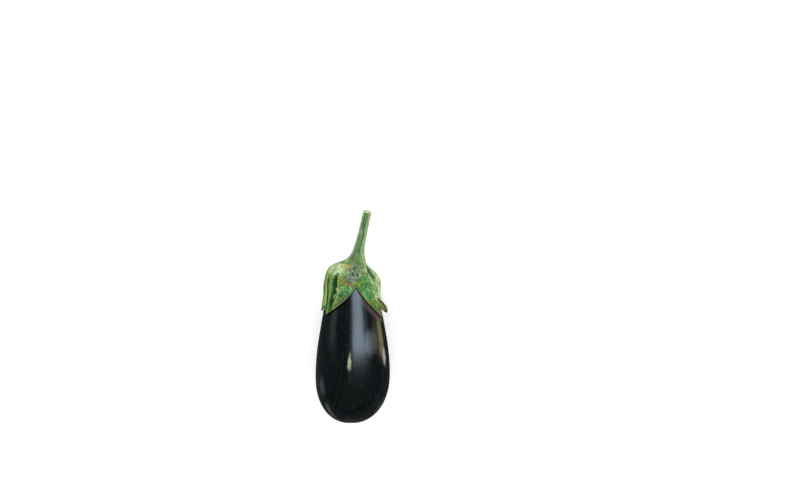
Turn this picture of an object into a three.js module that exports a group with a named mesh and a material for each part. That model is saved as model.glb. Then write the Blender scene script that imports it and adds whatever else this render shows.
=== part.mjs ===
// A ripe aubergine as picked: a dark berry that lies on its side, with the green calyx and the
// cut stalk it grew from. Sizes are in millimetres. +Z is up, +Y runs towards the cut stalk, and
// +X is to the right of someone who looks down on the berry with its stalk pointing away.
import * as THREE from "three";
import { LoftGeometry } from "three/addons/geometries/LoftGeometry.js";

const { lerp, clamp, smoothstep, degToRad } = THREE.MathUtils;

// Berry. Heights run along its axis from the blossom end.
const bodyRadius = 37.4;
const widestAt = 49;
const bodyLength = 157.5;
const endPower = 2.2; // 2 is an ellipse, more is blunter
const neckDrop = 12.5; // radius lost between the widest part and the top of the neck
const shoulderHeight = 20;
const shoulderPower = 2.5;
const blossomSwing = { offset: 1.5, below: 60 }; // the blossom end sits a little to the left
const scar = { radius: 3.2, depth: 0.5 };
const waist = { depth: 2.2, azimuth: 90, halfTurn: 40, height: 124, over: 9 }; // on its right side
const flutes = [
  { count: 2, height: 0.35, crest: 20 },
  { count: 3, height: 0.25, crest: 75 },
  { count: 5, height: 0.15, crest: 10 },
];

// Axis. It is straight through the berry, leans right at the neck, and rises a little in the stalk.
const leanRight = { slope: 0.227, from: 133, over: 28 };
const riseUp = { slope: 0.11, from: 167, over: 34 };

// Calyx: a fleshy cap whose pointed lobes hug the berry.
const capGap = 0.35; // between the calyx and the berry
const capThick = 3;
const marginThick = 1.25;
const thinOver = 36; // the cap thins over this distance to its margin
const ridge = { height: 1.0, halfWidth: 2.4 }; // over the midrib of each lobe
const furrow = { depth: 1.2, halfWidth: 2, offset: 4.9 }; // on both sides of the midrib
const drawIn = { offset: 2.2, over: 30 }; // the furrows draw in towards the tip
const ridgesFrom = { none: 10, full: 26 }; // arcs from the middle of the berry's top
const furrowsFrom = { none: 20, full: 30 };
const leanFrom = { height: 149, full: 105, power: 1.25 };

// Tips and notches of the lobes, in order round the cap. Azimuth is in degrees from straight up
// towards +X, at the shoulder of the berry; lean is how far the lobe has turned round the berry from
// there by the height where leaning is full; height is where the margin lies. Bow is how full the
// lobe is before and after its tip: 1 is a straight side. Relief is the strength of its ridge and furrows.
const lobes = [
  {
    tip: { azimuth: -83, lean: -5, height: 112.5 },
    notch: { azimuth: -61, lean: -8, height: 116 },
    bow: { before: 1.5, after: 1.5 },
    relief: 0.6,
  },
  {
    tip: { azimuth: -46, lean: -8, height: 107.5 },
    notch: { azimuth: 1, lean: 28, height: 134 },
    bow: { before: 1.2, after: 1.2 },
    relief: 1.15,
  },
  {
    tip: { azimuth: 21, lean: 45, height: 105 },
    notch: { azimuth: 30.5, lean: 43, height: 114 },
    bow: { before: 1.5, after: 1.5 },
    relief: 0.5,
  },
  {
    tip: { azimuth: 54, lean: 38, height: 110 },
    notch: { azimuth: 117, lean: 20, height: 130 },
    bow: { before: 3, after: 1.5 },
    relief: 0.7,
  },
  {
    tip: { azimuth: 148, lean: 5, height: 107 },
    notch: { azimuth: 182, lean: 0, height: 131 },
    bow: { before: 1.4, after: 1.4 },
    relief: 0.9,
  },
  {
    tip: { azimuth: 214, lean: 0, height: 109 },
    notch: { azimuth: 243, lean: -3, height: 128 },
    bow: { before: 1.4, after: 1.4 },
    relief: 0.9,
  },
];
const curl = { azimuth: 52, halfWidth: 30, lift: 4.9, crest: 4.5, over: 7 }; // one lobe curls off it
const tipLift = { lift: 0.3, over: 9 }; // every edge stands a little off it

// Stalk: a flare that narrows away from the cap, up to an oblique cut that faces up and away.
const stalk = { radius: 4.1, flare: 4.6, flareAt: 165, flareOver: 9, from: 160, to: 212 };
const ribShare = 0.3; // height of the stalk's ribs, as a share of the cap's ridges
const cut = { slope: Math.tan(degToRad(22)), shareFrom: 0.75 };

// Rest: the berry lies with its neck a little down, on the small flat that its own weight makes.
const neckDown = degToRad(5.5);
const flatDepth = 0.8;

// Facets.
const berryColumns = 60;
const berryRows = 54;
const spanColumns = 8; // from each tip to its notch, and from there to the next tip
const shoulderArcs = [4, 9, 13.5, 17, 20, 23, 26, 29, 32];
const capFromArc = 17; // the outside of the cap starts here, where the flare ends
const innerRows = 5;
const outerRows = 9;
const stalkRows = 11;
const stalkSpread = 1.6; // more than 1 gathers the stalk's rows at its flare

// Radius of the neck without its shoulder: half a cosine wave down from the widest part.
function neckRadius(height) {
  const up = (height - widestAt) / (bodyLength - widestAt);
  return bodyRadius - (neckDrop * (1 - Math.cos(Math.PI * up))) / 2;
}

// The berry's outline beside its axis, from the middle of its top to its blossom end: a third each
// for the shoulder, a superellipse; the neck; and the blossom end, a longer superellipse.
class BerryOutline extends THREE.Curve {
  getPoint(t, target = new THREE.Vector2()) {
    const neckTop = bodyLength - shoulderHeight;
    if (t < 1 / 3) {
      const turn = 3 * t * (Math.PI / 2);
      const height = neckTop + shoulderHeight * Math.cos(turn) ** (2 / shoulderPower);
      return target.set(neckRadius(height) * Math.sin(turn) ** (2 / shoulderPower), height);
    }
    if (t < 2 / 3) {
      const height = lerp(neckTop, widestAt, 3 * t - 1);
      return target.set(neckRadius(height), height);
    }
    const turn = Math.min(3 * t - 2, 1) * (Math.PI / 2);
    return target.set(
      bodyRadius * Math.max(Math.cos(turn), 0) ** (2 / endPower),
      widestAt * (1 - Math.sin(turn) ** (2 / endPower)),
    );
  }
}

const outline = new BerryOutline();
outline.arcLengthDivisions = 900;
const outlineLength = outline.getLength();

// Arc from the middle of the berry's top down to a height, found by halving.
function arcDownTo(height) {
  let above = 0;
  let below = 1;
  for (let step = 0; step < 30; step++) {
    const middle = (above + below) / 2;
    if (outline.getPointAt(middle).y > height) above = middle;
    else below = middle;
  }
  return above * outlineLength;
}

// How far a bend has moved the axis aside at a height, and the slope it has there: the slope grows
// as a smoothstep over the bend and then stays.
function bendAt(height, { slope, from, over }) {
  const t = clamp((height - from) / over, 0, 1);
  const beyond = Math.max(height - from - over, 0);
  return {
    offset: slope * (over * (t ** 3 - t ** 4 / 2) + beyond),
    slope: slope * t * t * (3 - 2 * t),
  };
}

function bump(distance) {
  return Math.exp(-distance * distance);
}

// How much slimmer the neck is at a place on it: one lobe of the calyx grew tight round it.
function waistAt(azimuth, height) {
  const beside = bump((azimuth - waist.azimuth) / waist.halfTurn);
  return waist.depth * beside * bump((height - waist.height) / waist.over);
}

// A point round the axis, on a section that stays square to it.
function around(azimuth, plainRadius, height) {
  const radius = plainRadius - waistAt(azimuth, height);
  const side = bendAt(height, leanRight);
  const rise = bendAt(height, riseUp);
  const below = clamp(1 - height / blossomSwing.below, 0, 1);
  const along = new THREE.Vector3(side.slope, 1, rise.slope).normalize();
  const right = new THREE.Vector3(1, -side.slope, 0).normalize();
  const up = new THREE.Vector3().crossVectors(right, along);
  const turn = degToRad(azimuth);
  return new THREE.Vector3(side.offset - blossomSwing.offset * below ** 2, height, rise.offset)
    .addScaledVector(right, radius * Math.sin(turn))
    .addScaledVector(up, radius * Math.cos(turn));
}

// A point over the berry's plain outline, at an arc from the middle of its top and a distance out.
function overBerry(azimuth, arc, out) {
  const share = Math.min(arc / outlineLength, 1);
  const point = outline.getPointAt(share);
  const tangent = outline.getTangentAt(share);
  return around(azimuth, point.x - tangent.y * out, point.y + tangent.x * out);
}

// A ring drawn together into one point of the axis, which closes a loft.
function pole(height, columns) {
  return Array.from({ length: columns }, () => around(0, 0, height));
}

// The berry: rings from the blossom end to the top. Its sides have faint flutes, which fade towards
// both ends, and the blossom end has a dimple where the flower's scar is.
function berryGeometry() {
  const ring = (row) => {
    const share = 1 - row / berryRows;
    const { x: radius, y: height } = outline.getPointAt(share);
    const swell = Math.sin(Math.PI * clamp(height / (bodyLength - shoulderHeight), 0, 1));
    const dimple = height < widestAt ? scar.depth * bump(radius / scar.radius) : 0;
    return Array.from({ length: berryColumns }, (_, column) => {
      const azimuth = (column * 360) / berryColumns;
      const flute = flutes.reduce(
        (sum, { count, height: rise, crest }) =>
          sum + rise * Math.cos(count * degToRad(azimuth - crest)),
        0,
      );
      return around(azimuth, radius + swell * flute, height + dimple);
    });
  };
  const rings = [pole(scar.depth, berryColumns)];
  for (let row = 1; row < berryRows; row++) rings.push(ring(row));
  rings.push(pole(bodyLength, berryColumns));
  return new LoftGeometry(rings);
}

// Columns of the cap between two neighbours of its margin. Share runs from the tip, 0, to the
// notch, 1, and the margin draws back as a power of it.
function columnsBetween(tip, notch, bow, towardsNotch) {
  return Array.from({ length: spanColumns }, (_, step) => {
    const share = towardsNotch ? step / spanColumns : 1 - step / spanColumns;
    return {
      azimuth: lerp(tip.azimuth, notch.azimuth, share),
      lean: lerp(tip.lean, notch.lean, share),
      reach: lerp(arcDownTo(tip.height), arcDownTo(notch.height), share ** bow),
    };
  });
}

// All columns of the cap, in order round it.
function capColumns() {
  return lobes.flatMap(({ tip, notch, bow }, index) => {
    const before = lobes.at(index - 1).notch;
    const turned = { ...before, azimuth: before.azimuth - (index === 0 ? 360 : 0) };
    return [
      ...columnsBetween(tip, turned, bow.before, false),
      ...columnsBetween(tip, notch, bow.after, true),
    ];
  });
}

// Distance round the cap from an azimuth to a lobe's midrib, the shorter way.
function acrossFrom(lobe, azimuth, radius) {
  const turn = THREE.MathUtils.euclideanModulo(azimuth - lobe.tip.azimuth + 180, 360) - 180;
  return degToRad(turn) * radius;
}

function ridgesAt(azimuth, radius) {
  return lobes.reduce(
    (sum, lobe) =>
      sum +
      lobe.relief * ridge.height * bump(acrossFrom(lobe, azimuth, radius) / ridge.halfWidth),
    0,
  );
}

const tipArcs = lobes.map((lobe) => arcDownTo(lobe.tip.height));
function furrowsAt(azimuth, arc, radius) {
  return lobes.reduce((sum, lobe, index) => {
    const across = Math.abs(acrossFrom(lobe, azimuth, radius));
    const fromTip = smoothstep(tipArcs[index] - arc, 0, drawIn.over);
    const beside = across - lerp(drawIn.offset, furrow.offset, fromTip);
    return sum + lobe.relief * furrow.depth * bump(beside / furrow.halfWidth);
  }, 0);
}

// How far round the berry a column has leaned at an arc.
const leanStart = arcDownTo(leanFrom.height);
const leanOver = arcDownTo(leanFrom.full) - leanStart;
function azimuthAt({ azimuth, lean }, arc) {
  return azimuth + lean * clamp((arc - leanStart) / leanOver, 0, 1) ** leanFrom.power;
}

// How far the cap's inner face stands off the berry: a gap, and the lift of its edges.
function liftAt({ azimuth, reach }, arc) {
  const edge = smoothstep(arc, reach - tipLift.over, reach);
  const curled = bump((arc - reach + curl.crest) / curl.over);
  const window = Math.max(0, 1 - ((azimuth - curl.azimuth) / curl.halfWidth) ** 2);
  return capGap + tipLift.lift * edge + curl.lift * curled * window;
}

function thicknessAt({ azimuth, reach }, arc) {
  const plain = lerp(marginThick, capThick, smoothstep(reach - arc, 0, thinOver));
  const radius = outline.getPointAt(arc / outlineLength).x;
  const ridges = smoothstep(arc, ridgesFrom.none, ridgesFrom.full) * ridgesAt(azimuth, radius);
  const furrowed = smoothstep(arc, furrowsFrom.none, furrowsFrom.full);
  const furrows = furrowed * furrowsAt(azimuth, arc, radius);
  return plain * (1 + (ridges - furrows) / capThick);
}

// The calyx and stalk: rings from the middle of the cap's inside, down to its margin, round that,
// up its outside, and along the stalk to the cut.
function calyxGeometry() {
  const columns = capColumns();
  const shoulderArc = shoulderArcs.at(-1);
  const inside = (arcOf) =>
    columns.map((column) => {
      const arc = arcOf(column);
      return overBerry(azimuthAt(column, arc), arc, liftAt(column, arc));
    });
  const outside = (arcOf) =>
    columns.map((column) => {
      const arc = arcOf(column);
      const out = liftAt(column, arc) + thicknessAt(column, arc);
      return overBerry(azimuthAt(column, arc), arc, out);
    });
  const lip = columns.map((column) => {
    const out = liftAt(column, column.reach) + marginThick / 2;
    return overBerry(azimuthAt(column, column.reach), column.reach + marginThick / 3, out);
  });
  const stalkRing = (share) =>
    columns.map(({ azimuth }) => {
      const height = lerp(stalk.from, stalk.to, share ** stalkSpread);
      const flare = stalk.flare * Math.exp((stalk.flareAt - height) / stalk.flareOver);
      const radius = stalk.radius + flare + ribShare * ridgesAt(azimuth, stalk.radius + flare);
      const oblique = cut.slope * smoothstep(share, cut.shareFrom, 1);
      return around(azimuth, radius, height - oblique * radius * Math.cos(degToRad(azimuth)));
    });

  const rings = [pole(bodyLength + capGap, columns.length)];
  for (const arc of shoulderArcs) rings.push(inside(() => arc));
  for (let row = 1; row <= innerRows; row++)
    rings.push(inside(({ reach }) => lerp(shoulderArc, reach, row / innerRows)));
  rings.push(lip);
  for (let row = outerRows; row > 0; row--)
    rings.push(outside(({ reach }) => lerp(shoulderArc, reach, row / outerRows)));
  for (const arc of shoulderArcs.filter((each) => each >= capFromArc).reverse())
    rings.push(outside(() => arc));
  for (let row = 0; row <= stalkRows; row++) rings.push(stalkRing(row / stalkRows));
  return new LoftGeometry(rings, { capEnd: true });
}

// Press everything lower than the flat up to it.
function pressFlat(geometry, floor) {
  const positions = geometry.getAttribute("position");
  for (let index = 0; index < positions.count; index++)
    positions.setZ(index, Math.max(positions.getZ(index), floor));
  geometry.computeBoundingBox();
}

function lowest(geometry) {
  geometry.computeBoundingBox();
  return geometry.boundingBox.min.z;
}

function aubergine() {
  const berry = berryGeometry().rotateX(-neckDown);
  pressFlat(berry, lowest(berry) + flatDepth);
  const calyx = calyxGeometry().rotateX(-neckDown);

  const skin = new THREE.MeshStandardMaterial({ color: "#15191c", roughness: 0.22 });
  const fruit = new THREE.Mesh(berry, skin);
  fruit.name = "fruit";

  const green = new THREE.MeshStandardMaterial({ color: "#6d8f52", roughness: 0.6 });
  const calyxAndStalk = new THREE.Mesh(calyx, green);
  calyxAndStalk.name = "calyx_and_stalk";

  const group = new THREE.Group();
  group.add(fruit, calyxAndStalk);
  const box = new THREE.Box3().setFromObject(group);
  const middle = box.getCenter(new THREE.Vector3());
  group.position.set(-middle.x, -middle.y, -box.min.z);
  return group;
}

export default aubergine();
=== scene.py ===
import math

import bpy
import numpy as np
from mathutils import Matrix, Vector


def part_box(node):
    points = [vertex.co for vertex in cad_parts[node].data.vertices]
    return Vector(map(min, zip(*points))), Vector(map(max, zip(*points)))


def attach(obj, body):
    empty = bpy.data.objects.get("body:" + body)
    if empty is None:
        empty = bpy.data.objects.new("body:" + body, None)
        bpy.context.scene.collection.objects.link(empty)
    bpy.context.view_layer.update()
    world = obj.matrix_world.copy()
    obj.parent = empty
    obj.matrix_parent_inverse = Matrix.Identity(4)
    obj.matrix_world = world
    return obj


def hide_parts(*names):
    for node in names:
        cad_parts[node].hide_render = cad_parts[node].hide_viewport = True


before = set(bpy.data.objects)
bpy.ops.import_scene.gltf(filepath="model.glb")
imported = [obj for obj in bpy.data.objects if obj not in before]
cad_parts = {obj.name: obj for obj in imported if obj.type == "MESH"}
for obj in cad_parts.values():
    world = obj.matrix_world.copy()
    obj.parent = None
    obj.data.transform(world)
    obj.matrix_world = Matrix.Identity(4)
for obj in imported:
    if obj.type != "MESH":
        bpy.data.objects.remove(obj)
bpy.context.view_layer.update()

# The camera
# It looks straight down on the aubergine, which lies with its stalk towards the top of the picture. One
# pixel of the 800 x 500 frame is one millimetre at the height of the berry's axis.
MM = 0.001
PICTURE_WIDE = 800
PICTURE_MIDDLE = (400, 250)
BERRY_AXIS_PIXEL, BLOSSOM_END_PIXEL = 352.7, 423
LENS, SENSOR = 100, 36

berry_low, berry_high = (np.array(corner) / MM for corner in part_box("fruit"))
axis_height = (berry_high[2] - berry_low[2]) / 2
camera_distance = PICTURE_WIDE * LENS / SENSOR
camera_data = bpy.data.cameras.new("camera")
camera_data.lens = LENS
camera_data.sensor_width = SENSOR
camera = bpy.data.objects.new("camera", camera_data)
camera.location = Vector((
    (berry_low[0] + berry_high[0]) / 2 + PICTURE_MIDDLE[0] - BERRY_AXIS_PIXEL,
    berry_low[1] + BLOSSOM_END_PIXEL - PICTURE_MIDDLE[1],
    axis_height + camera_distance,
)) * MM
bpy.context.collection.objects.link(camera)
bpy.context.scene.camera = camera

# The berry
# One grown body of spongy flesh under a thin waxy skin. It swelled out of the flower, whose corky scar
# sits in a dimple at the blossom end, and it is pressed a little flat where it lies. Lengths are in mm
# and azimuths in degrees round from the top, to the right.
BODY_RADIUS, BODY_LENGTH = 37.4, 157.5
WIDEST_AT = 49  # heights run along the axis from the blossom end
END_POWER = 2.2
NECK_DROP = 12.5
SHOULDER_HEIGHT, SHOULDER_POWER = 20, 2.5
SWING_OFFSET, SWING_BELOW = 1.5, 60  # the blossom end swings to the left
SCAR_RADIUS, SCAR_DEPTH = 3.2, 0.5
KNOB_RADIUS, KNOB_HEIGHT, KNOB_LOBES = 1.3, 0.35, 0.1
WAIST_DEPTH, WAIST_AZIMUTH, WAIST_HALF, WAIST_AT, WAIST_OVER = 2.2, 90, 40, 124, 9
FLUTES = ((2, 0.35, 20), (3, 0.25, 75), (5, 0.15, 10))  # count, height, azimuth of a crest
DENTS = ((0.16, 34, 6, 11), (0.05, 13, 19, 12))  # depth, length, count round the berry, seed
LEAN_SLOPE, LEAN_FROM, LEAN_OVER = 0.227, 133, 28  # the neck and the stalk lean to the right
RISE_SLOPE, RISE_FROM, RISE_OVER = 0.11, 167, 34  # the stalk rises
NECK_DOWN = math.radians(5.5)  # how it lies
FLAT_DEPTH, FLAT_ROUNDING = 0.8, 0.12


def smoothstep(values, low, high):
    """0 below low, 1 above high, and 3 t^2 - 2 t^3 between them."""
    t = np.clip((values - low) / (high - low), 0, 1)
    return t * t * (3 - 2 * t)


def bump(distance):
    """A bell that is 1 in its middle and 1/e at a distance of 1."""
    return np.exp(-distance * distance)


def neck_radius(height):
    """Radius without the shoulder: half a cosine wave down from the widest part."""
    up = (height - WIDEST_AT) / (BODY_LENGTH - WIDEST_AT)
    return BODY_RADIUS - NECK_DROP * (1 - np.cos(np.pi * up)) / 2


def berry_outline(steps=1500):
    """Half the outline, from the middle of the top to the blossom end: arc, radius, height and normal.

    The shoulder and the blossom end are quarters of superellipses, and the neck lies between them.
    """
    turn = np.linspace(0, np.pi / 2, steps)
    neck_top = BODY_LENGTH - SHOULDER_HEIGHT
    shoulder = neck_top + SHOULDER_HEIGHT * np.cos(turn) ** (2 / SHOULDER_POWER)
    neck = np.linspace(neck_top, WIDEST_AT, steps)[1:-1]
    end = WIDEST_AT * (1 - np.sin(turn) ** (2 / END_POWER))
    height = np.concatenate([shoulder, neck, end])
    radius = np.concatenate([
        neck_radius(shoulder) * np.sin(turn) ** (2 / SHOULDER_POWER),
        neck_radius(neck),
        BODY_RADIUS * np.abs(np.cos(turn)) ** (2 / END_POWER),
    ])
    arc = np.concatenate([[0], np.cumsum(np.hypot(np.diff(radius), np.diff(height)))])
    out = np.stack([-np.gradient(height), np.gradient(radius)])
    out /= np.hypot(*out)
    return arc, radius, height, out[0], out[1]


OUTLINE = berry_outline()


def outline_at(arc):
    """Radius, height and outward normal of the berry's plain outline at an arc from its top."""
    return [np.interp(arc, OUTLINE[0], column) for column in OUTLINE[1:]]


def arc_down_to(height):
    """The arc from the top of the plain outline down to a height."""
    return np.interp(-height, -OUTLINE[2], OUTLINE[0])


def bend_at(height, slope, start, over):
    """Offset and slope of the axis where its slope grows as a smoothstep over a bend and then stays."""
    t = np.clip((height - start) / over, 0, 1)
    offset = slope * (over * (t ** 3 - t ** 4 / 2) + np.maximum(height - start - over, 0))
    return offset, slope * t * t * (3 - 2 * t)


def around(azimuth, radius, height):
    """Points round the leaning axis, on sections square to it. Azimuth is in radians from up to +X. The
    neck is slimmer on its right side, where one lobe of the calyx grew tight round it."""
    azimuth, radius, height = np.broadcast_arrays(azimuth, radius, height)
    waist = WAIST_DEPTH * bump((np.degrees(azimuth) - WAIST_AZIMUTH) / WAIST_HALF)
    radius = radius - waist * bump((height - WAIST_AT) / WAIST_OVER)
    side, side_slope = bend_at(height, LEAN_SLOPE, LEAN_FROM, LEAN_OVER)
    rise, rise_slope = bend_at(height, RISE_SLOPE, RISE_FROM, RISE_OVER)
    side = side - SWING_OFFSET * np.clip(1 - height / SWING_BELOW, 0, 1) ** 2
    one, none = np.ones_like(height, float), np.zeros_like(height, float)
    along = np.stack([side_slope, one, rise_slope], -1)
    along /= np.linalg.norm(along, axis=-1, keepdims=True)
    right = np.stack([one, -side_slope, none], -1)
    right /= np.linalg.norm(right, axis=-1, keepdims=True)
    centre = np.stack([side, height, rise], -1)
    across = radius[..., None] * np.sin(azimuth)[..., None] * right
    return centre + across + radius[..., None] * np.cos(azimuth)[..., None] * np.cross(right, along)


def lattice_noise(across, along, cells, seed):
    """Smooth noise from -1 to 1 on a ring: seeded values at lattice points, joined by smoothsteps.

    across runs from 0 to 1 round the ring, where there are so many cells, and along is in cells.
    """
    u, v = np.broadcast_arrays(across * cells, along)
    rows = int(np.ceil(v.max())) + 2
    values = np.random.default_rng(seed).uniform(-1, 1, (rows, cells))
    column, row = np.floor(u).astype(int), np.floor(v).astype(int)
    s, t = smoothstep(u - column, 0, 1), smoothstep(v - row, 0, 1)
    near, far = column % cells, (column + 1) % cells
    low = values[row, near] * (1 - s) + values[row, far] * s
    high = values[row + 1, near] * (1 - s) + values[row + 1, far] * s
    return low * (1 - t) + high * t


def grain_at(across, along, grains):
    """The sum of such noises, each with its height and length in mm, its count round the ring and seed."""
    return sum(
        height * lattice_noise(across, along / length, count, seed)
        for height, length, count, seed in grains
    )


def ring_mesh(name, rings, start, end):
    """A closed skin over rings of points, with one point at each end. Rings run anticlockwise seen
    from the far end, so that the faces point outwards. Points come in millimetres."""
    rows, columns = rings.shape[:2]
    points = np.concatenate([rings.reshape(-1, 3), [start, end]]) * MM
    here = np.arange(rows * columns).reshape(rows, columns)
    following = np.roll(here, -1, axis=1)
    quads = np.stack([here[:-1], following[:-1], following[1:], here[1:]], -1).reshape(-1, 4)
    first, last = rows * columns, rows * columns + 1
    foot = np.stack([np.full(columns, first), following[0], here[0]], -1)
    top = np.stack([np.full(columns, last), here[-1], following[-1]], -1)
    mesh = bpy.data.meshes.new(name)
    mesh.from_pydata(points.tolist(), [], quads.tolist() + foot.tolist() + top.tolist())
    mesh.polygons.foreach_set("use_smooth", np.ones(len(mesh.polygons), bool))
    mesh.update()
    made = bpy.data.objects.new(name, mesh)
    bpy.context.collection.objects.link(made)
    return made


def attribute(piece, name, values):
    """Gives every point of a piece a number that its material can read."""
    made = piece.data.attributes.new(name, "FLOAT", "POINT")
    made.data.foreach_set("value", np.asarray(values, np.float32).ravel())


def lay_down(points):
    """Turns points about X so that the neck points a little down."""
    turn = np.array([
        [1, 0, 0],
        [0, math.cos(NECK_DOWN), math.sin(NECK_DOWN)],
        [0, -math.sin(NECK_DOWN), math.cos(NECK_DOWN)],
    ])
    return points @ turn.T


BERRY_ROWS, BERRY_COLUMNS = 250, 300
SCAR_STAIN = 1.9  # radius that is stained by the scar

arcs = np.linspace(0, OUTLINE[0][-1], BERRY_ROWS + 1)[1:-1][::-1, None]
azimuths = np.linspace(0, 2 * np.pi, BERRY_COLUMNS, endpoint=False)[None, :]
radius, height, out_radial, out_axial = outline_at(arcs)
swell = np.sin(np.pi * np.clip(height / (BODY_LENGTH - SHOULDER_HEIGHT), 0, 1))
flutes = sum(rise * np.cos(count * (azimuths - math.radians(crest))) for count, rise, crest in FLUTES)
out = swell * (flutes + grain_at(azimuths / (2 * np.pi), arcs, DENTS))
at_blossom = height < WIDEST_AT
dimple = np.where(at_blossom, SCAR_DEPTH * bump(radius / SCAR_RADIUS), 0)
knob = bump(radius / KNOB_RADIUS) * (KNOB_HEIGHT + KNOB_LOBES * np.cos(5 * azimuths))
knob = np.where(at_blossom, knob, 0)
berry_rings = around(azimuths, radius + out * out_radial, height + out * out_axial + dimple - knob)
berry_poles = around(0.0, 0.0, np.array([SCAR_DEPTH - KNOB_HEIGHT, BODY_LENGTH]))

# Laid down, with a hyperbola raising what would be below the table, and moved into the place of the CAD.
berry_rings, berry_poles = lay_down(berry_rings), lay_down(berry_poles)
lowest = berry_rings[..., 2].min()
flat = lowest + FLAT_DEPTH
over_flat = berry_rings[..., 2] - flat
berry_rings[..., 2] = flat + (over_flat + np.hypot(over_flat, FLAT_ROUNDING)) / 2
box_middle = (berry_rings.min((0, 1)) + berry_rings.max((0, 1))) / 2
cad_middle = (berry_low + berry_high) / 2
place = np.array([cad_middle[0] - box_middle[0], cad_middle[1] - box_middle[1], -flat])

berry = ring_mesh("berry", berry_rings + place, berry_poles[0] + place, berry_poles[1] + place)
turned = np.degrees((azimuths + np.pi) % (2 * np.pi) - np.pi) + 0 * arcs
attribute(berry, "turn", np.append(turned.ravel(), [0, 0]))
attribute(berry, "height", np.append((height + 0 * azimuths).ravel(), [0, BODY_LENGTH]))
scarred = at_blossom * bump(radius / SCAR_STAIN) + 0 * azimuths
attribute(berry, "scar", np.append(scarred.ravel(), [1, 0]))
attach(berry, "root")
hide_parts("fruit")


def linear(colour):
    """Linear RGBA of an sRGB hex colour."""
    parts = [int(colour[i:i + 2], 16) / 255 for i in (1, 3, 5)]
    return [c / 12.92 if c <= 0.04045 else ((c + 0.055) / 1.055) ** 2.4 for c in parts] + [1]


def add(kind, inputs=None, out=0, **settings):
    """Adds a node to the tree in hand with its settings, fills or links its inputs, and gives back one
    of its outputs. Inputs and outputs go by name or by their place among the live ones."""
    node = tree.nodes.new("ShaderNode" + kind)
    for name, value in settings.items():
        setattr(node, name, value)
    live = [socket for socket in node.inputs if socket.enabled]
    for key, value in (inputs or {}).items():
        socket = live[key] if isinstance(key, int) else next(s for s in live if s.name == key)
        if isinstance(value, bpy.types.NodeSocket):
            tree.links.new(value, socket)
        else:
            socket.default_value = value
    given = [socket for socket in node.outputs if socket.enabled]
    return given[out] if isinstance(out, int) else next(s for s in given if s.name == out)


def stored(name):
    """The number that each point of the piece holds under a name."""
    return add("Attribute", out="Fac", attribute_name=name)


def place_in_mm():
    return add("VectorMath", {0: add("TexCoord", out="Object"), "Scale": 1 / MM}, operation="SCALE")


def noise(where, size, detail=3, roughness=0.5, out=0):
    """Noise with grains of a size in mm, from 0 to 1 and mostly near 0.5."""
    return add("TexNoise", {
        "Vector": where, "Scale": 1 / size, "Detail": detail, "Roughness": roughness,
    }, out=out)


def shifts_at(where, size, reach):
    """A small move for each place, so that what is drawn there has wandering edges."""
    shifts = noise(where, size, out="Color")
    shifts = add("VectorMath", {0: shifts, 1: (0.5, 0.5, 0.5)}, operation="SUBTRACT")
    return add("VectorMath", {0: shifts, "Scale": reach}, operation="SCALE")


def ramp(value, start, full, low=0, high=1, smooth=False):
    """Low up to the start and high beyond the full value, with a straight or a smooth way between."""
    return add("MapRange", {
        "Value": value, "From Min": start, "From Max": full, "To Min": low, "To Max": high,
    }, interpolation_type="SMOOTHSTEP" if smooth else "LINEAR")


def times(value, other):
    return add("Math", {0: value, 1: other}, operation="MULTIPLY")


def covered(colour, share, cover):
    """The colour with a share of another one over it."""
    return add("Mix", {"Factor": share, "A": colour, "B": linear(cover)}, data_type="RGBA")


SPOT_END = 1.3  # how many reaches from its middle a spot ends


def spotted(colour, where, patches, full, grain=None):
    """The colour with a soft spot of another one over it for each patch, and the last spot's share.

    A patch has its middle and reach in two or three axes, its colour and its share. A spot is full up to
    so many reaches from its middle, and grain roughens it.
    """
    for middle, reach, stain, share in patches:
        spot = add("Mapping", {
            "Vector": where,
            "Location": [*(-m / r for m, r in zip(middle, reach)), 0][:3],
            "Scale": [*(1 / r for r in reach), 1][:3],
        })
        spot = add("VectorMath", {0: spot}, operation="LENGTH", out="Value")
        spot = ramp(spot, SPOT_END, full, 0, share, smooth=True)
        if grain is not None:
            spot = times(spot, grain)
        colour = covered(colour, spot, stain)
    return colour, spot


def layered(colour, layers, within=None):
    """The colour with one layer over it for each row: value, where it starts, where it is full, colour
    and share. All of them are held within a mask if there is one."""
    for value, start, full, cover, share in layers:
        amount = ramp(value, start, full, 0, share, smooth=True)
        if within is not None:
            amount = times(amount, within)
        colour = covered(colour, amount, cover)
    return colour


# Aubergine skin: a tight, waxy rind, polished as it grew, so dark a violet that it looks black. Light
# draws clear soft-edged streaks on it, broken by a grain of fine pores; one flank stays greener, and some
# highlights and reflections are painted into its colour.
skin = bpy.data.materials.new("waxy_aubergine_skin")
skin.use_nodes = True
tree = skin.node_tree
shader = tree.nodes["Principled BSDF"]
shader.inputs["IOR"].default_value = 1.45
shader.inputs["Specular IOR Level"].default_value = 0.5
place_mm = place_in_mm()
drawn_out = add("Mapping", {"Vector": place_mm, "Scale": (1, 0.09, 1)})  # along the berry
mottle = noise(place_mm, 13)
streaks = noise(drawn_out, 2.4)
pores = noise(place_mm, 1.1, 2, 0.6)
turn = stored("turn")
chart = add("CombineXYZ", {"X": turn, "Y": stored("height")})
chart = add("VectorMath", {0: chart, 1: shifts_at(place_mm, 3, 3.5)}, operation="ADD")
chart = add("Mapping", {"Vector": chart, "Scale": (1, 1, 0)})

colour = covered(linear("#03090c"), ramp(mottle, 0.35, 0.65), "#081214")
colour = covered(colour, ramp(streaks, 0.5, 0.75, 0, 0.6), "#1d2324")
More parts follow.
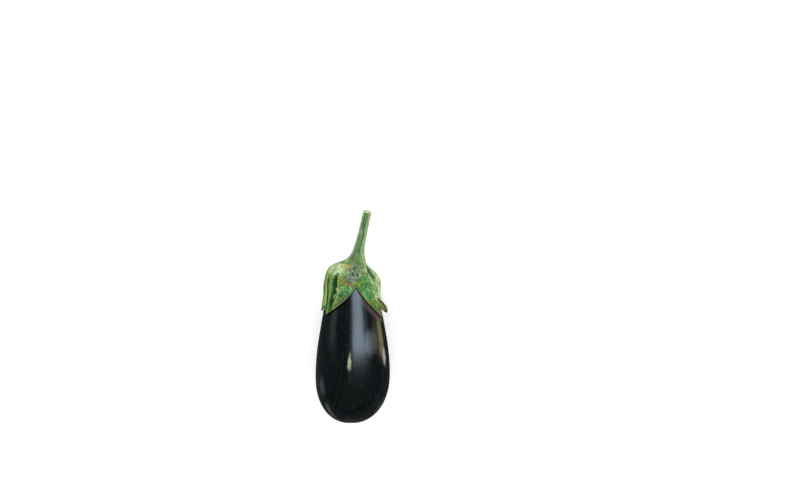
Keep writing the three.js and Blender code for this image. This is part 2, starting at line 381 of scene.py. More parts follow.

# Each stain or painted highlight: its middle and its reach, in degrees round from the top and in mm up
# from the blossom end, its colour and its share.
STAINS_AND_PAINTED_LIGHT = (
    ((6, 34), (26, 24), "#191918", 0.5),  # browner, less ripe towards the blossom end
    # A brown ring round the blossom end: partly end browning, partly a painted reflection along the bottom
    # rim.
    ((0, -1), (400, 5), "#3e322a", 0.65),
    ((-54, 11), (7, 10), "#5a5743", 0.8),
    ((70, 14), (6, 12), "#4e4238", 0.7),
    ((-82, 46), (17, 52), "#2c3825", 0.65),  # greener flank, with a pale painted reflection along its rim on the next line
    # A pale green painted reflection along the left rim.
    ((-85, 46), (8, 50), "#66785c", 0.75),
    ((49, 88), (14, 27), "#453c2c", 0.7),  # painted warm reflection down the right flank: brown and olive streaks
    ((55.5, 88), (7, 25), "#827e54", 0.85),
    # A pale painted highlight at the right rim, in a mauve-brown painted halo.
    ((52, 71), (5, 6), "#7d6a58", 0.6),
    ((59.5, 66), (4.5, 9.5), "#b9bdab", 0.95),
    ((-2.8, 64), (1.8, 6), "#8e9576", 0.9),  # a small painted glint: a pale pointed highlight
    ((-3.5, 58), (3.2, 7.2), "#c2c6a4", 1),
    ((-3, 46), (2.5, 8), "#34322d", 0.6),
    ((-55, 36), (8, 10), "#465257", 0.6),  # a faint blue-grey painted reflection low on the left
    ((29, 78), (10, 13), "#616e70", 0.85),  # painted highlight: a grainy blue-grey patch right of the streak
    ((39, 81), (9, 12), "#525c57", 0.75),
)
grainy = ramp(pores, 0.35, 0.62, 0.5, 1.25)
colour, _ = spotted(colour, chart, STAINS_AND_PAINTED_LIGHT, 0.3, grainy)

# Bruised mauve beside the calyx on the right, then the scar's cork and the pores.
right_side = ramp(turn, 14, 26, smooth=True)
colour = layered(colour, ((stored("from_calyx"), 8, 1.5, "#5d4f4c", 0.85),), right_side)
scar = ramp(stored("scar"), 0.3, 0.6, smooth=True)
colour = covered(colour, scar, "#7a6142")
colour = covered(colour, ramp(pores, 0.47, 0.68, 0, 0.5), "#1f2727")
tree.links.new(colour, shader.inputs["Base Color"])
rough = add("Mix", {"Factor": scar, "A": ramp(pores, 0.3, 0.7, 0.19, 0.29), "B": 0.8})
tree.links.new(rough, shader.inputs["Roughness"])
relief = add("Math", {0: pores, 1: streaks}, operation="ADD")
relief = add("Bump", {"Height": relief, "Strength": 0.45, "Distance": 0.1 * MM})
tree.links.new(relief, shader.inputs["Normal"])
berry.data.materials.append(skin)

# The calyx and the stalk
# The green cap that held the flower, grown in one piece with its stalk: fleshy at the shoulder, thin at
# the margin, with six pointed lobes that hug the berry, a ridge over each midrib and furrows beside it.
# The stalk was cut through obliquely, which bares its pale pith.
CAP_GAP, CAP_THICK, MARGIN_THICK, THIN_OVER = 0.35, 3, 1.25, 36
SHOULDER_ARC, FLARE_ARC = 32, 20  # the cap leaves the shoulder, and runs into the stalk's flare
RIDGE_HEIGHT, RIDGE_HALF = 1.0, 2.2
RIDGES_NONE, RIDGES_FULL = 10, 26
FURROW_DEPTH, FURROW_HALF, FURROW_OFFSET, FURROW_AT_TIP, FURROW_TIP_OVER = 1.3, 1.7, 4.9, 2.2, 30
FURROWS_NONE, FURROWS_FULL = 20, 30
FURROW_WANDER = ((0.9, 7, 14, 24),)  # width, length, count round the cap, seed
BANK_HEIGHT, BANK_HALF, BANK_BEYOND = 0.45, 1.0, 2.7
# How the painted shade lies in each furrow: half-width, shift towards the midrib, share at the tip, and the
# arcs over which it sets in from the top and fades towards the tip.
DARK_HALF, DARK_SHIFT, DARK_AT_TIP = 1.8, 0.2, 0.45
DARK_FROM_TOP, DARK_FROM_TIP = (26, 34), (2, 14)
TURN_FROM, TURN_FULL, TURN_POWER = 149, 105, 1.25
# Each lobe: azimuth, lean and height of its tip; the same of the notch after it; the margin's bow before
# and after the tip; relief.
LOBES = (
    ((-83, -5, 112.5), (-61, -8, 116), (1.5, 1.5), 0.6),
    ((-46, -8, 107.5), (1, 28, 134), (1.2, 1.2), 1.15),
    ((21, 45, 105), (30.5, 43, 114), (1.5, 1.5), 0.5),
    ((54, 38, 110), (117, 20, 130), (3, 1.5), 0.7),
    ((148, 5, 107), (182, 0, 131), (1.4, 1.4), 0.9),
    ((214, 0, 109), (243, -3, 128), (1.4, 1.4), 0.9),
)
CURL_AZIMUTH, CURL_HALF, CURL_LIFT, CURL_CREST, CURL_OVER = 52, 30, 4.9, 4.5, 7
TIP_LIFT, TIP_LIFT_OVER = 0.3, 9
# Each grain: height, length, count round the cap, seed.
GRAIN = ((0.26, 6.5, 26, 21), (0.12, 2.6, 75, 22), (0.06, 1.1, 170, 23))
GRAIN_FROM_EDGE = 3
BEAD_HEIGHT, BEAD_FROM_EDGE, BEAD_HALF = 0.15, 0.7, 0.6
LIP_BULGE = 0.45  # share of the margin's thickness
STALK_RADIUS, STALK_FLARE, FLARE_AT, FLARE_OVER = 4.1, 4.6, 165, 9
STALK_FROM, STALK_TO, STALK_SPREAD = 162.5, 212, 1.35
STALK_GRAIN = ((0.12, 9, 17, 31), (0.06, 3.2, 44, 32))
HIP_HEIGHT, HIP_AT, HIP_HALF = 0.6, 168, 4.5  # where the stalk's foot is fuller on the right
RIB_SHARE = 0.3
LEAVE_SHARE, ARRIVE_SHARE = 0.25, 0.6  # how far the fillet follows the cap and the stalk
CUT_SLOPE, CUT_FROM = math.tan(math.radians(22)), 0.75
CUT_BEVEL, CUT_HOLLOW = 0.2, 0.25
COLUMNS_LEAST, COLUMNS_PER_DEGREE = 13, 0.72


def cap_columns():
    """Columns of the cap in order round it, as arrays: azimuth at the shoulder, lean and reach.

    Between a tip and a notch the azimuth and lean run evenly, and the margin draws back as a power.
    """
    spans = []
    for index, (tip, notch, bows, _) in enumerate(LOBES):
        before = np.array(LOBES[index - 1][1], float)
        before[0] -= 360 if index == 0 else 0
        for other, towards_notch in ((before, False), (np.array(notch, float), True)):
            bow = bows[towards_notch]
            steps = COLUMNS_LEAST + round(COLUMNS_PER_DEGREE * abs(other[0] - tip[0]))
            share = np.arange(steps) / steps
            share = share if towards_notch else 1 - share
            reach = arc_down_to(tip[2]) + share ** bow * (arc_down_to(other[2]) - arc_down_to(tip[2]))
            azimuth = tip[0] + share * (other[0] - tip[0])
            lean = tip[1] + share * (other[1] - tip[1])
            spans.append(np.stack([azimuth, lean, reach]))
    return np.concatenate(spans, axis=1)


ROOT, LEAN, REACH = cap_columns()
RELIEF = np.array([lobe[3] for lobe in LOBES])
TIPS = np.array([lobe[0][0] for lobe in LOBES])
TIP_REACH = arc_down_to(np.array([lobe[0][2] for lobe in LOBES]))


def across_midribs(radius):
    """Distance round the cap from each column to each lobe's midrib, in mm, the shorter way."""
    turn = (ROOT[:, None] - TIPS[None, :] + 180) % 360 - 180
    return np.radians(turn) * np.asarray(radius)[..., None]


def ridges_at(radius):
    """Ridges over the midribs, from 0 to about 1, where the cap or the stalk has a radius."""
    return (RELIEF * bump(across_midribs(radius) / RIDGE_HALF)).sum(-1)


def furrows_at(arc):
    """Furrows, the banks beyond them and the dark green painted as shade in them, all from 0 to about 1, at
    arcs down the cap. They wander a little and draw in towards the tip. The painted shade lies on the
    midrib's side of each."""
    wander = grain_at((ROOT / 360) % 1, arc, FURROW_WANDER)
    across = np.abs(across_midribs(outline_at(arc)[0]) + wander[..., None])
    from_tip = TIP_REACH - arc[..., None]
    offset = FURROW_AT_TIP + (FURROW_OFFSET - FURROW_AT_TIP) * smoothstep(from_tip, 0, FURROW_TIP_OVER)
    furrows = (RELIEF * bump((across - offset) / FURROW_HALF)).sum(-1)
    banks = (RELIEF * bump((across - offset - BANK_BEYOND) / BANK_HALF)).sum(-1)
    shift = DARK_SHIFT * (offset - FURROW_AT_TIP)
    depth = DARK_AT_TIP + (1 - DARK_AT_TIP) * smoothstep(from_tip, *DARK_FROM_TIP)
    dark = (RELIEF * bump((across - offset + shift) / DARK_HALF) * depth).sum(-1)
    begin = smoothstep(arc, FURROWS_NONE, FURROWS_FULL)
    return furrows * begin, banks * begin, dark * smoothstep(arc, *DARK_FROM_TOP)


def azimuth_at(arc):
    """Azimuths of the columns at arcs down the cap: each lobe leans more, the further down it comes."""
    turn_start, turn_full = arc_down_to(TURN_FROM), arc_down_to(TURN_FULL)
    share = np.clip((arc - turn_start) / (turn_full - turn_start), 0, 1)
    return np.radians(ROOT + LEAN * share ** TURN_POWER)


def lift_at(arc):
    """Height of the cap's inside over the plain outline: tips lift a little, and one lobe curls off."""
    edge = smoothstep(arc, REACH - TIP_LIFT_OVER, REACH)
    curled = bump((arc - REACH + CURL_CREST) / CURL_OVER)
    window = np.maximum(0, 1 - ((ROOT - CURL_AZIMUTH) / CURL_HALF) ** 2)
    return CAP_GAP + TIP_LIFT * edge + CURL_LIFT * curled * window


def thickness_at(arc):
    """Thickness of the cap, which thins towards the margin, with its ridges, furrows and banks."""
    plain = MARGIN_THICK + (CAP_THICK - MARGIN_THICK) * smoothstep(REACH - arc, 0, THIN_OVER)
    ridges = smoothstep(arc, RIDGES_NONE, RIDGES_FULL) * ridges_at(outline_at(arc)[0])
    furrows, banks, _ = furrows_at(arc)
    relief = RIDGE_HEIGHT * ridges - FURROW_DEPTH * furrows + BANK_HEIGHT * banks
    return plain * (1 + relief / CAP_THICK)


def over_berry(arc, out):
    """Radius and height of points over the berry's plain outline, at a distance out from it."""
    radius, height, out_radial, out_axial = outline_at(arc)
    return radius + out * out_radial, height + out * out_axial


INNER_FROM, INNER_ROWS, LOBE_EVERY, LIP_ROWS, LOBE_ROWS, SHOULDER_ROWS = 3, 11, 6, 5, 66, 26
FILLET_ROWS, STALK_ROWS = 14, 60
CUT_RINGS = (0.97, 0.9, 0.78, 0.62, 0.45, 0.28, 0.12)


def distance_to_line(points, line, closed=False):
    """Distance in mm from each point to a line: the least over its straight pieces."""
    line = np.concatenate([line, line[:1]]) if closed else np.asarray(line, float)
    run = np.diff(line, axis=0)
    nearest = np.empty(len(points))
    for block in np.array_split(np.arange(len(points)), len(points) // 400):
        away = points[block, None] - line[:-1]
        share = np.clip((away * run).sum(-1) / (run ** 2).sum(-1), 0, 1)
        nearest[block] = np.linalg.norm(away - share[..., None] * run, axis=-1).min(-1)
    return nearest


# Inside: even arcs from the middle to the shoulder, and from there to the margin.
down = np.linspace(0, 1, LOBE_ROWS + 1)[:, None]
lobe_arcs = SHOULDER_ARC + down * (REACH - SHOULDER_ARC)
inner_arcs = np.concatenate([
    np.repeat(np.linspace(INNER_FROM, SHOULDER_ARC, INNER_ROWS, endpoint=False)[:, None], len(REACH), 1),
    lobe_arcs[::LOBE_EVERY],
])
inner_radius, inner_height = over_berry(inner_arcs, lift_at(inner_arcs))

# Outside: from the margin up to the shoulder, and over that to the flare.
cap_arcs = np.concatenate([
    lobe_arcs[::-1],
    np.repeat(np.linspace(SHOULDER_ARC, FLARE_ARC, SHOULDER_ROWS + 1)[1:, None], len(REACH), 1),
])
cap_turns = azimuth_at(cap_arcs)
cap_out = lift_at(cap_arcs) + thickness_at(cap_arcs)
margin = around(azimuth_at(REACH), *over_berry(REACH, lift_at(REACH) + MARGIN_THICK / 2))
cap_points = around(cap_turns, *over_berry(cap_arcs, cap_out)).reshape(-1, 3)
cap_edge = distance_to_line(cap_points, margin, closed=True).reshape(cap_arcs.shape) - MARGIN_THICK / 2
grain = grain_at((cap_turns / (2 * np.pi)) % 1, cap_arcs, GRAIN)
bead = BEAD_HEIGHT * bump((cap_edge - BEAD_FROM_EDGE) / BEAD_HALF)
cap_out = cap_out + grain * smoothstep(cap_edge, 0, GRAIN_FROM_EDGE) + bead
cap_radius, cap_height = over_berry(cap_arcs, cap_out)

# Lip: half an ellipse from the inside of the margin round to its outside.
lip_turn = np.linspace(-np.pi / 2, np.pi / 2, LIP_ROWS + 2)[1:-1, None]
margin_low, margin_high = lift_at(REACH), cap_out[0]
lip_out = (margin_low + margin_high) / 2 + np.sin(lip_turn) * (margin_high - margin_low) / 2
lip_radius, lip_height = over_berry(REACH + LIP_BULGE * MARGIN_THICK * np.cos(lip_turn), lip_out)

# Stalk: an exponential flare, with ribs, up to the oblique cut.
stalk_share = np.linspace(0, 1, STALK_ROWS + 1)[:, None]
stalk_height = STALK_FROM + (STALK_TO - STALK_FROM) * stalk_share ** STALK_SPREAD
flare_radius = STALK_RADIUS + STALK_FLARE * np.exp((FLARE_AT - stalk_height) / FLARE_OVER)
stalk_turn = np.radians(ROOT)[None, :]
stalk_radius = flare_radius + RIB_SHARE * ridges_at(np.repeat(flare_radius, len(ROOT), 1))
stalk_radius = stalk_radius + HIP_HEIGHT * bump((stalk_height - HIP_AT) / HIP_HALF) * np.sin(stalk_turn)
stalk_radius = stalk_radius + grain_at((stalk_turn / (2 * np.pi)) % 1, stalk_height, STALK_GRAIN)
oblique = CUT_SLOPE * smoothstep(stalk_share, CUT_FROM, 1)
stalk_height = stalk_height - oblique * stalk_radius * np.cos(stalk_turn)

# Fillet: a cubic from the cap's last ring to the stalk's first, along the slopes of both.
_, _, cap_out_radial, cap_out_axial = outline_at(np.full(len(ROOT), float(FLARE_ARC)))
chord = np.hypot(cap_radius[-1] - stalk_radius[0], cap_height[-1] - stalk_height[0])
leave = np.stack([-cap_out_axial, cap_out_radial]) * chord * LEAVE_SHARE
flare_slope = -STALK_FLARE / FLARE_OVER * math.exp((FLARE_AT - STALK_FROM) / FLARE_OVER)
arrive = np.array([[flare_slope], [1]]) / math.hypot(flare_slope, 1) * chord * ARRIVE_SHARE
t = np.linspace(0, 1, FILLET_ROWS + 2)[1:-1, None, None]
cap_end = np.stack([cap_radius[-1], cap_height[-1]])
stalk_start = np.stack([stalk_radius[0], stalk_height[0]])
fillet = (
    (2 * t ** 3 - 3 * t ** 2 + 1) * cap_end
    + (t ** 3 - 2 * t ** 2 + t) * leave
    + (3 * t ** 2 - 2 * t ** 3) * stalk_start
    + (t ** 3 - t ** 2) * arrive
)

# Cut: rings inwards over the oblique face, just inside a broken edge.
inwards = np.array(CUT_RINGS)[:, None]
cut_radius = stalk_radius[-1] * inwards
cut_height = STALK_TO - CUT_SLOPE * cut_radius * np.cos(stalk_turn) + CUT_BEVEL - CUT_HOLLOW * (1 - inwards)

blocks = (
    ("inner", azimuth_at(inner_arcs), inner_radius, inner_height),
    ("lip", azimuth_at(np.repeat(REACH[None, :], LIP_ROWS, axis=0)), lip_radius, lip_height),
    ("cap", cap_turns, cap_radius, cap_height),
    ("fillet", np.repeat(stalk_turn, FILLET_ROWS, axis=0), fillet[:, 0], fillet[:, 1]),
    ("stalk", np.repeat(stalk_turn, STALK_ROWS + 1, axis=0), stalk_radius, stalk_height),
    ("cut", np.repeat(stalk_turn, len(CUT_RINGS), axis=0), cut_radius, cut_height),
)
turns, radius, height = (np.concatenate([block[i] for block in blocks]) for i in (1, 2, 3))
calyx_rings = lay_down(around(turns, radius, height)) + place
poles_height = np.array([BODY_LENGTH + CAP_GAP, STALK_TO + CUT_BEVEL - CUT_HOLLOW])
calyx_poles = lay_down(around(0.0, 0.0, poles_height)) + place
calyx = ring_mesh("calyx_and_stalk_skin", calyx_rings, calyx_poles[0], calyx_poles[1])
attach(calyx, "root")
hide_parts("calyx_and_stalk")

# What the green's material reads: mm from the margin, painted shade in a furrow, crest of a ridge, bank
# beside a furrow, how dried it is, which face it is, the lines drawn on its upper side, and the place along
# the fibres.
LINES = (  # name, half-width, and places in mm seen from above
    # Veins: pale lines on the lobes, partly painted highlights along ridges and beside the margin.
    ("vein_and_highlight", 0.9, ((-14.3, 31), (-15.8, 26.7))),
    ("vein_and_highlight", 0.8, ((-17, 22.4), (-18.5, 18.6))),
    ("vein_and_highlight", 1.3, ((9.7, 64.3), (11.7, 52.4), (14.2, 43.5), (17.1, 38.1), (21.1, 32.6))),
    ("vein_and_highlight", 1.0, ((20.9, 24.7), (22.6, 19.8), (25.1, 14.8))),
    ("vein_and_highlight", 1.9, ((19.6, 46.5), (23.6, 40.5), (26, 33.6), (26.5, 26.7), (26, 19.8))),
    ("vein_and_highlight", 0.7, ((10.7, 25.7), (12.6, 20.8), (14.6, 17.8))),
    ("vein_and_highlight", 1.0, ((2.8, 76.1), (-1.7, 64.3), (-6.1, 55.4), (-11.1, 48.5))),
    ("slot", 1.1, ((13.7, 48.5), (18.6, 41.5))),  # a short dark crack
    # The dried lobe's dark fold line, partly painted shade under its rolled rim.
    ("fold_line_and_shade", 0.7, (
        (25.3, 18.3), (26.8, 16), (28.7, 14.2), (30.8, 12), (32.4, 9.6), (33.2, 7.3), (32.9, 5.3),
    )),
    ("fold_line_and_shade", 0.9, ((33.2, 5.4), (31.9, 4.4))),
    # Its cream rim, partly a painted highlight.
    ("cream_rim_highlight", 0.8, ((26.6, 18.2), (28.2, 17), (30.2, 15.4), (32.4, 13.1), (34, 10.3), (34.8, 7.6))),
)
UPPER_SIDE = (26, 34)  # mm above the table, over which the lines begin to show
DARK_FADE, DARK_FADE_AT, DARK_FADE_HALF = 0.75, 30, 35  # the lobes on the right have little painted shade down their furrows
CURL_ENDS = (62, 78)  # azimuths over which the dried lobe ends
DRIED_FROM_EDGE = (13, 8)  # mm from its margin where it begins to be dry, and where it is
FAR = 30  # mm from the margin, where that no longer matters
STALK_AT_FOOT = 0.35  # how far the stalk's own colours have set in at its foot

_, cap_banks, cap_dark = furrows_at(cap_arcs)
cap_dark = cap_dark * (1 - DARK_FADE * bump((ROOT - DARK_FADE_AT) / DARK_FADE_HALF))
cap_crest = smoothstep(cap_arcs, RIDGES_NONE, RIDGES_FULL) * ridges_at(outline_at(cap_arcs)[0])
curl_start = LOBES[2][1][0]
in_curl = smoothstep(ROOT, curl_start - 0.1, curl_start + 0.1) * (1 - smoothstep(ROOT, *CURL_ENDS))
cap_dried = in_curl * smoothstep(cap_arcs, *(REACH - inset for inset in DRIED_FROM_EDGE))
on_fillet = np.linspace(0, STALK_AT_FOOT, FILLET_ROWS)[:, None]
up_stalk = STALK_AT_FOOT + (1 - STALK_AT_FOOT) * smoothstep(stalk_share, 0, 0.3)
by_block = {
    "inner": {"edge": 4, "inside": 1},
    "lip": {"edge": 0, "dried": in_curl},
    "cap": {
        "edge": np.maximum(cap_edge, 0), "furrow_shade": cap_dark, "crest": cap_crest,
        "bank": cap_banks, "dried": cap_dried,
    },
    "fillet": {"edge": FAR, "crest": cap_crest[-1], "stalk": on_fillet},
    "stalk": {"edge": FAR, "crest": cap_crest[-1], "stalk": up_stalk},
    "cut": {"edge": FAR, "stalk": 1, "cut": 1.2 - inwards},
}
for name in ("edge", "furrow_shade", "crest", "bank", "dried", "inside", "stalk", "cut"):
    rows = [by_block[block[0]].get(name, 0) + np.zeros_like(block[2]) for block in blocks]
    values = np.concatenate(rows).ravel()
    attribute(calyx, name, np.append(values, [values[0], values[-1]]))
calyx_points = calyx_rings.reshape(-1, 3)
upper = smoothstep(calyx_points[:, 2], *UPPER_SIDE)
for name in ("vein_and_highlight", "slot", "fold_line_and_shade", "cream_rim_highlight"):
    drawn = sum(
        bump(distance_to_line(calyx_points[:, :2], places) / half)
        for line, half, places in LINES
        if line == name
    )
    attribute(calyx, name, np.append(upper * drawn, [0, 0]))

# Place along the fibres: the direction round the cap, as sine and cosine, and the arc down from the top.
grown = np.concatenate([inner_arcs, np.repeat(REACH[None, :], LIP_ROWS, axis=0), cap_arcs])
grown = np.concatenate([grown, FLARE_ARC + BODY_LENGTH - height[len(grown):]])
root_turn = np.radians(ROOT) + 0 * grown
fibre = np.stack([np.sin(root_turn), np.cos(root_turn), grown], -1)
fibre = np.concatenate([fibre.reshape(-1, 3), np.zeros((2, 3))])
made = calyx.data.attributes.new("fibre", "FLOAT_VECTOR", "POINT")
made.data.foreach_set("vector", fibre.astype(np.float32).ravel())

# The berry's skin reads how far it is from the calyx; both of its ends are far from the margin.
from_calyx = distance_to_line(berry_rings.reshape(-1, 3), lay_down(margin), closed=True)
attribute(berry, "from_calyx", np.append(from_calyx, [90, 30]))


def three_noises(where, size, detail, roughness):
    """Three noises of one grain that keep out of step."""
    parts = add("SeparateColor", {"Color": noise(where, size, detail, roughness, "Color")}).node
    return [parts.outputs[name] for name in ("Red", "Green", "Blue")]


# Green flesh under a dull, downy skin: mottled in yellow and blue greens, teal where it is smooth, ochre
# and corky where it cracked near the stalk. Painted highlights make its shoulder, edges, ridges and veins
# pale, and painted shade darkens each furrow and the margin's lip.
green = bpy.data.materials.new("downy_calyx_green")
green.use_nodes = True
tree = green.node_tree
shader = tree.nodes["Principled BSDF"]
shader.inputs["IOR"].default_value = 1.4
shader.inputs["Specular IOR Level"].default_value = 0.3
shader.inputs["Sheen Weight"].default_value = 0.04
shader.inputs["Sheen Roughness"].default_value = 0.5
place_mm = place_in_mm()
fibres = add("Attribute", out="Vector", attribute_name="fibre")
edge, furrow_shade, crest, bank = stored("edge"), stored("furrow_shade"), stored("crest"), stored("bank")
vein_and_highlight, slot, fold_line_and_shade, cream_rim_highlight = stored("vein_and_highlight"), stored("slot"), stored("fold_line_and_shade"), stored("cream_rim_highlight")
dried, inside, on_stalk, pith = stored("dried"), stored("inside"), stored("stalk"), stored("cut")
cap_strand, stalk_strand = (
    noise(add("Mapping", {"Vector": fibres, "Scale": scale}), 1.6, 3, 0.55)
    for scale in ((26, 26, 0.16), (6, 6, 0.2))
)
strand = add("Mix", {"Factor": on_stalk, "A": cap_strand, "B": stalk_strand})
broad = noise(place_mm, 6, 3, 0.6)
small = noise(place_mm, 2, 3, 0.6)
fine = noise(place_mm, 0.8, 2, 0.6)
wandering = add("VectorMath", {0: place_mm, 1: shifts_at(place_mm, 2.5, 9)}, operation="ADD")

colour = covered(linear("#47733a"), ramp(broad, 0.38, 0.62), "#6b9150")
# Each patch: its middle and its reach in mm, its colour and its share.
PATCHES = (
    ((-18, 48.5, 60), (14, 8, 26), "#d6ecc6", 0.95),  # painted highlight on the left shoulder
    # A paler painted rim highlight down the left edge.
    ((-28, 26.7, 40), (3.5, 18, 26), "#9db073", 0.75),
    ((-12, 18.8, 60), (11, 9, 26), "#2d5a2c", 0.85),  # front of the left lobe
    ((-4.1, 27.2, 60), (6, 4.5, 26), "#4fa070", 0.75),
    ((-16, 13.8, 60), (6, 6, 26), "#6c7340", 0.8),
    ((-22.9, 10.9, 60), (4, 7, 26), "#66683a", 0.8),
    ((-9.1, 35.6, 60), (6, 5, 26), "#837d35", 0.85),  # olive and brown below the cork
    ((-1.2, 31.6, 60), (5, 2.8, 26), "#86613a", 0.8),
    ((-4.6, 49, 60), (5.5, 3.5, 26), "#c9b65c", 0.9),
    ((7.7, 33, 60), (6.5, 5, 26), "#77941c", 0.95),  # lime above the notch
    ((13.7, 30.7, 60), (6.5, 11, 26), "#2f8a55", 0.85),  # teal of the right lobe
    ((17.6, 21.7, 60), (5.5, 8, 26), "#3f9a60", 0.7),
    ((20.6, 12.8, 60), (7, 6, 26), "#74853c", 0.8),
    ((27, 4.9, 60), (4.5, 5.5, 26), "#545a26", 0.85),  # its tip
    ((19.6, 31.6, 60), (3, 6, 26), "#7e8f5a", 0.8),
    ((26.5, 30, 40), (4.5, 14, 22), "#c9d6a4", 0.9),  # painted rim highlight along the right edge
    ((0.8, 39.1, 60), (7.5, 5, 26), "#62777a", 0.95),  # grey-blue cork, smooth and cracked
    ((2.6, 45.6, 60), (9, 7, 26), "#6d7a68", 0.8),
)
colour, cork = spotted(colour, wandering, PATCHES, 0.7)

# Blotches of paler, bluer, browner and darker green.
light, blue, brown = three_noises(place_mm, 3.4, 3, 0.65)
colour = layered(colour, (
    (light, 0.5, 0.68, "#b3c482", 0.65),
    (blue, 0.5, 0.68, "#2f8a58", 0.55),
    (brown, 0.52, 0.7, "#8a7f42", 0.55),
    (light, 0.46, 0.33, "#2a5a34", 0.6),
))

# The stalk is greyer, darkest along its top, with painted rim highlights that make it paler down its
# left side and creamy down its right.
round_to_right = add("SeparateXYZ", {"Vector": fibres}, out="X")
colour = layered(colour, (
    (round_to_right, -2, -1.9, "#52704e", 0.92),
    (round_to_right, -0.4, -0.95, "#a8c498", 0.9),
    (round_to_right, 0.2, 0.65, "#a3b889", 0.85),
    (round_to_right, 0.92, 1, "#8a7a58", 0.5),
    (strand, 0.5, 0.66, "#8fae84", 0.6),
    (strand, 0.48, 0.34, "#2d4a30", 0.7),
), on_stalk)

# Down and fibres, finer than the blotches and fainter on the stalk.
downy = ramp(on_stalk, 0, 1, 1, 0.45)
colour = layered(colour, (
    (strand, 0.53, 0.7, "#bccb98", 0.4),
    (strand, 0.46, 0.32, "#2f6236", 0.5),
    (small, 0.55, 0.72, "#b4c67e", 0.45),
    (small, 0.44, 0.3, "#24522e", 0.6),
    (fine, 0.6, 0.78, "#c3cf9c", 0.35),
    (fine, 0.42, 0.28, "#2c5230", 0.5),
), downy)

# Ridges, banks and veins, broken up by the down, are paler, partly as painted highlights; the furrows take
# painted shade; then the margin, whose lip is painted nearly black as the shade under it.
broken = ramp(small, 0.35, 0.6, 0.25, 1.15)
broken_bank, broken_vein_and_highlight = times(bank, broken), times(vein_and_highlight, broken)
broken_furrow_shade = times(furrow_shade, ramp(small, 0.35, 0.6, 1.3, 0.55))
colour = layered(colour, (
    (crest, 0.4, 0.95, "#7f9152", 0.6),
    (broken_bank, 0.35, 0.95, "#a9bf84", 0.5),
    (broken_furrow_shade, 0.05, 0.4, "#286a26", 0.85),
    (broken_furrow_shade, 0.3, 0.75, "#0a3c12", 0.95),
    (slot, 0.3, 0.8, "#2f4a3a", 0.85),
    (broken_vein_and_highlight, 0.25, 1, "#cad6a8", 0.8),
    (edge, 2.2, 1.2, "#38532a", 0.5),
    (edge, 0.6, 0.3, "#9c9468", 0.55),
    # The lip is painted nearly black, as the shade under the margin.
    (edge, 0.12, 0, "#120d08", 1),
))

# The greens are fresher than their mixture with so many dull ones.
colour = add("HueSaturation", {"Color": colour, "Saturation": 1.15})

# Cork: cracked bits, dark, pale and rusty.
bits, rusty_bits, _ = three_noises(place_mm, 2.1, 2, 0.7)
colour = layered(colour, (
    (bits, 0.51, 0.4, "#1f2c2c", 0.95),
    (bits, 0.54, 0.66, "#cccab0", 0.9),
    (rusty_bits, 0.6, 0.68, "#a07a48", 0.75),
), cork)

# The curled lobe has dried: olive, with a dark brown line along its fold that is partly painted shade
# under the rolled rim, and a cream rim beyond it that is partly a painted highlight.
broken_fold_line_and_shade = add("Math", {0: fold_line_and_shade, 1: ramp(small, 0.35, 0.65, -0.25, 0.25)}, operation="ADD")
colour = layered(colour, (
    (dried, 0.1, 0.7, "#7d7230", 0.7),
    (cream_rim_highlight, 0.15, 0.9, "#c9bf9f", 0.85),
    (broken_fold_line_and_shade, 0.25, 0.95, "#35190c", 0.95),
))

# Paler inside, and pale pith in the cut.
colour = covered(colour, ramp(inside, 0.2, 0.8), "#b9b98a")
colour = covered(colour, ramp(pith, 0.28, 0.4), "#cfd0a4")
tree.links.new(colour, shader.inputs["Base Color"])
tree.links.new(ramp(small, 0.3, 0.7, 0.5, 0.75), shader.inputs["Roughness"])
relief = add("Math", {0: strand, 1: fine}, operation="ADD")
relief = add("Math", {0: relief, 1: small}, operation="ADD")
relief = add("Bump", {"Height": relief, "Strength": 0.6, "Distance": 0.6 * MM})
tree.links.new(relief, shader.inputs["Normal"])
calyx.data.materials.append(green)

# The floor and the light
# A plain white sheet, lit a little from below, under an even white sky. Neither shows in the wax, where
# only the soft boxes and a dim copy of the sheet are mirrored, as between black flags in a studio.
def plain(name, colour, glow=0):
    """A matt material of one colour."""
    made = bpy.data.materials.new(name)
    made.use_nodes = True
    shader = made.node_tree.nodes["Principled BSDF"]
    shader.inputs["Base Color"].default_value = linear(colour)
    shader.inputs["Roughness"].default_value = 1
    shader.inputs["Specular IOR Level"].default_value = 0
    shader.inputs["Emission Color"].default_value = linear(colour)
    shader.inputs["Emission Strength"].default_value = glow
    return made


SHEET_HALF = 8  # metres
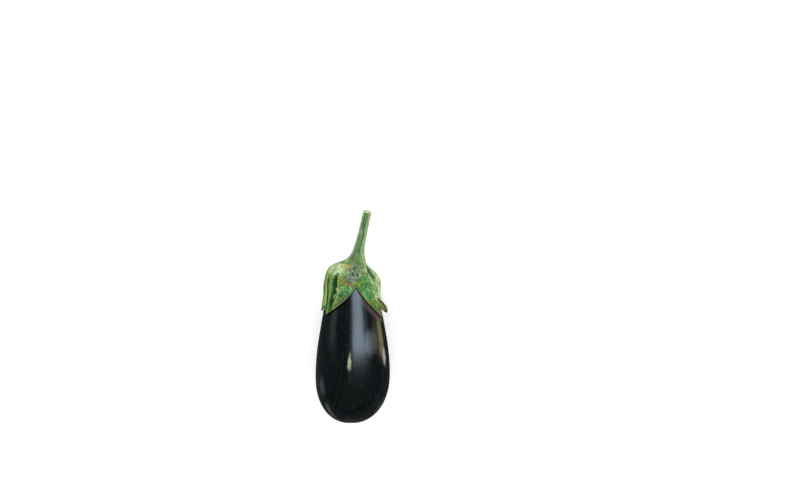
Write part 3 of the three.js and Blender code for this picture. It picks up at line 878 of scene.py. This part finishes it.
# The mirrored copy lies a hair above the sheet, so that the wax sees it and not the sheet.
for name, up, colour, glow in (("floor", 0, "#f6f6f6", 0.38), ("mirrored_floor", 0.1 * MM, "#4c4c4c", 0)):
    corners = [(x * SHEET_HALF, y * SHEET_HALF, up) for x, y in ((-1, -1), (1, -1), (1, 1), (-1, 1))]
    sheet = bpy.data.meshes.new(name)
    sheet.from_pydata(corners, [], [(0, 1, 2, 3)])
    sheet.materials.append(plain(name + "_paper", colour, glow))
    floor = bpy.data.objects.new(name, sheet)
    seen = name == "floor"
    floor.visible_camera = seen
    floor.visible_diffuse = seen
    floor.visible_shadow = seen
    floor.visible_glossy = not seen
    bpy.context.collection.objects.link(floor)

LAMP_DISTANCE = 1.6  # metres
LIT_PLACE = Vector((0, -20, axis_height)) * MM  # the part of the skin that the lamps are aimed at


def softbox(name, right, along, wide, deep, radiance, colour):
    """A rectangular light that is mirrored up to the camera by skin that faces so many degrees to the
    right and so many towards the stalk. Seen from the skin, half its width and half its depth span wide
    and deep degrees."""
    right, along, wide, deep = (math.radians(angle) for angle in (right, along, wide, deep))
    skin_out = Vector((
        math.cos(along) * math.sin(right),
        math.sin(along),
        math.cos(along) * math.cos(right),
    ))
    towards = 2 * skin_out.z * skin_out - Vector((0, 0, 1))
    side = Vector((math.cos(2 * right), 0, -math.sin(2 * right)))
    side = (side - side.dot(towards) * towards).normalized()
    data = bpy.data.lights.new(name, "AREA")
    data.shape = "RECTANGLE"
    data.size, data.size_y = (2 * LAMP_DISTANCE * math.tan(half) for half in (wide, deep))
    data.energy = radiance * math.pi * data.size * data.size_y
    data.color = linear(colour)[:3]
    lamp = bpy.data.objects.new(name, data)
    lamp.location = LIT_PLACE + towards * LAMP_DISTANCE
    lamp.rotation_euler = Matrix((side, towards.cross(side), towards)).transposed().to_euler()
    lamp.visible_diffuse = False
    bpy.context.collection.objects.link(lamp)


softbox("key", 10, 13, 19, 10, 9.3, "#d5ebff")  # the broad streak below the calyx
softbox("key_side", 24, 10, 9, 4, 5, "#dcecff")  # its fainter right part
softbox("left_fill", -36, 14.5, 11, 7, 1, "#e8f4ff")  # a faint glow on the left flank

world = bpy.data.worlds.new("white_sky")
world.use_nodes = True
world.node_tree.nodes["Background"].inputs["Color"].default_value = linear("#ffffff")
world.node_tree.nodes["Background"].inputs["Strength"].default_value = 1.08
world.cycles_visibility.glossy = False
bpy.context.scene.world = world
bpy.context.scene.view_settings.view_transform = "Standard"
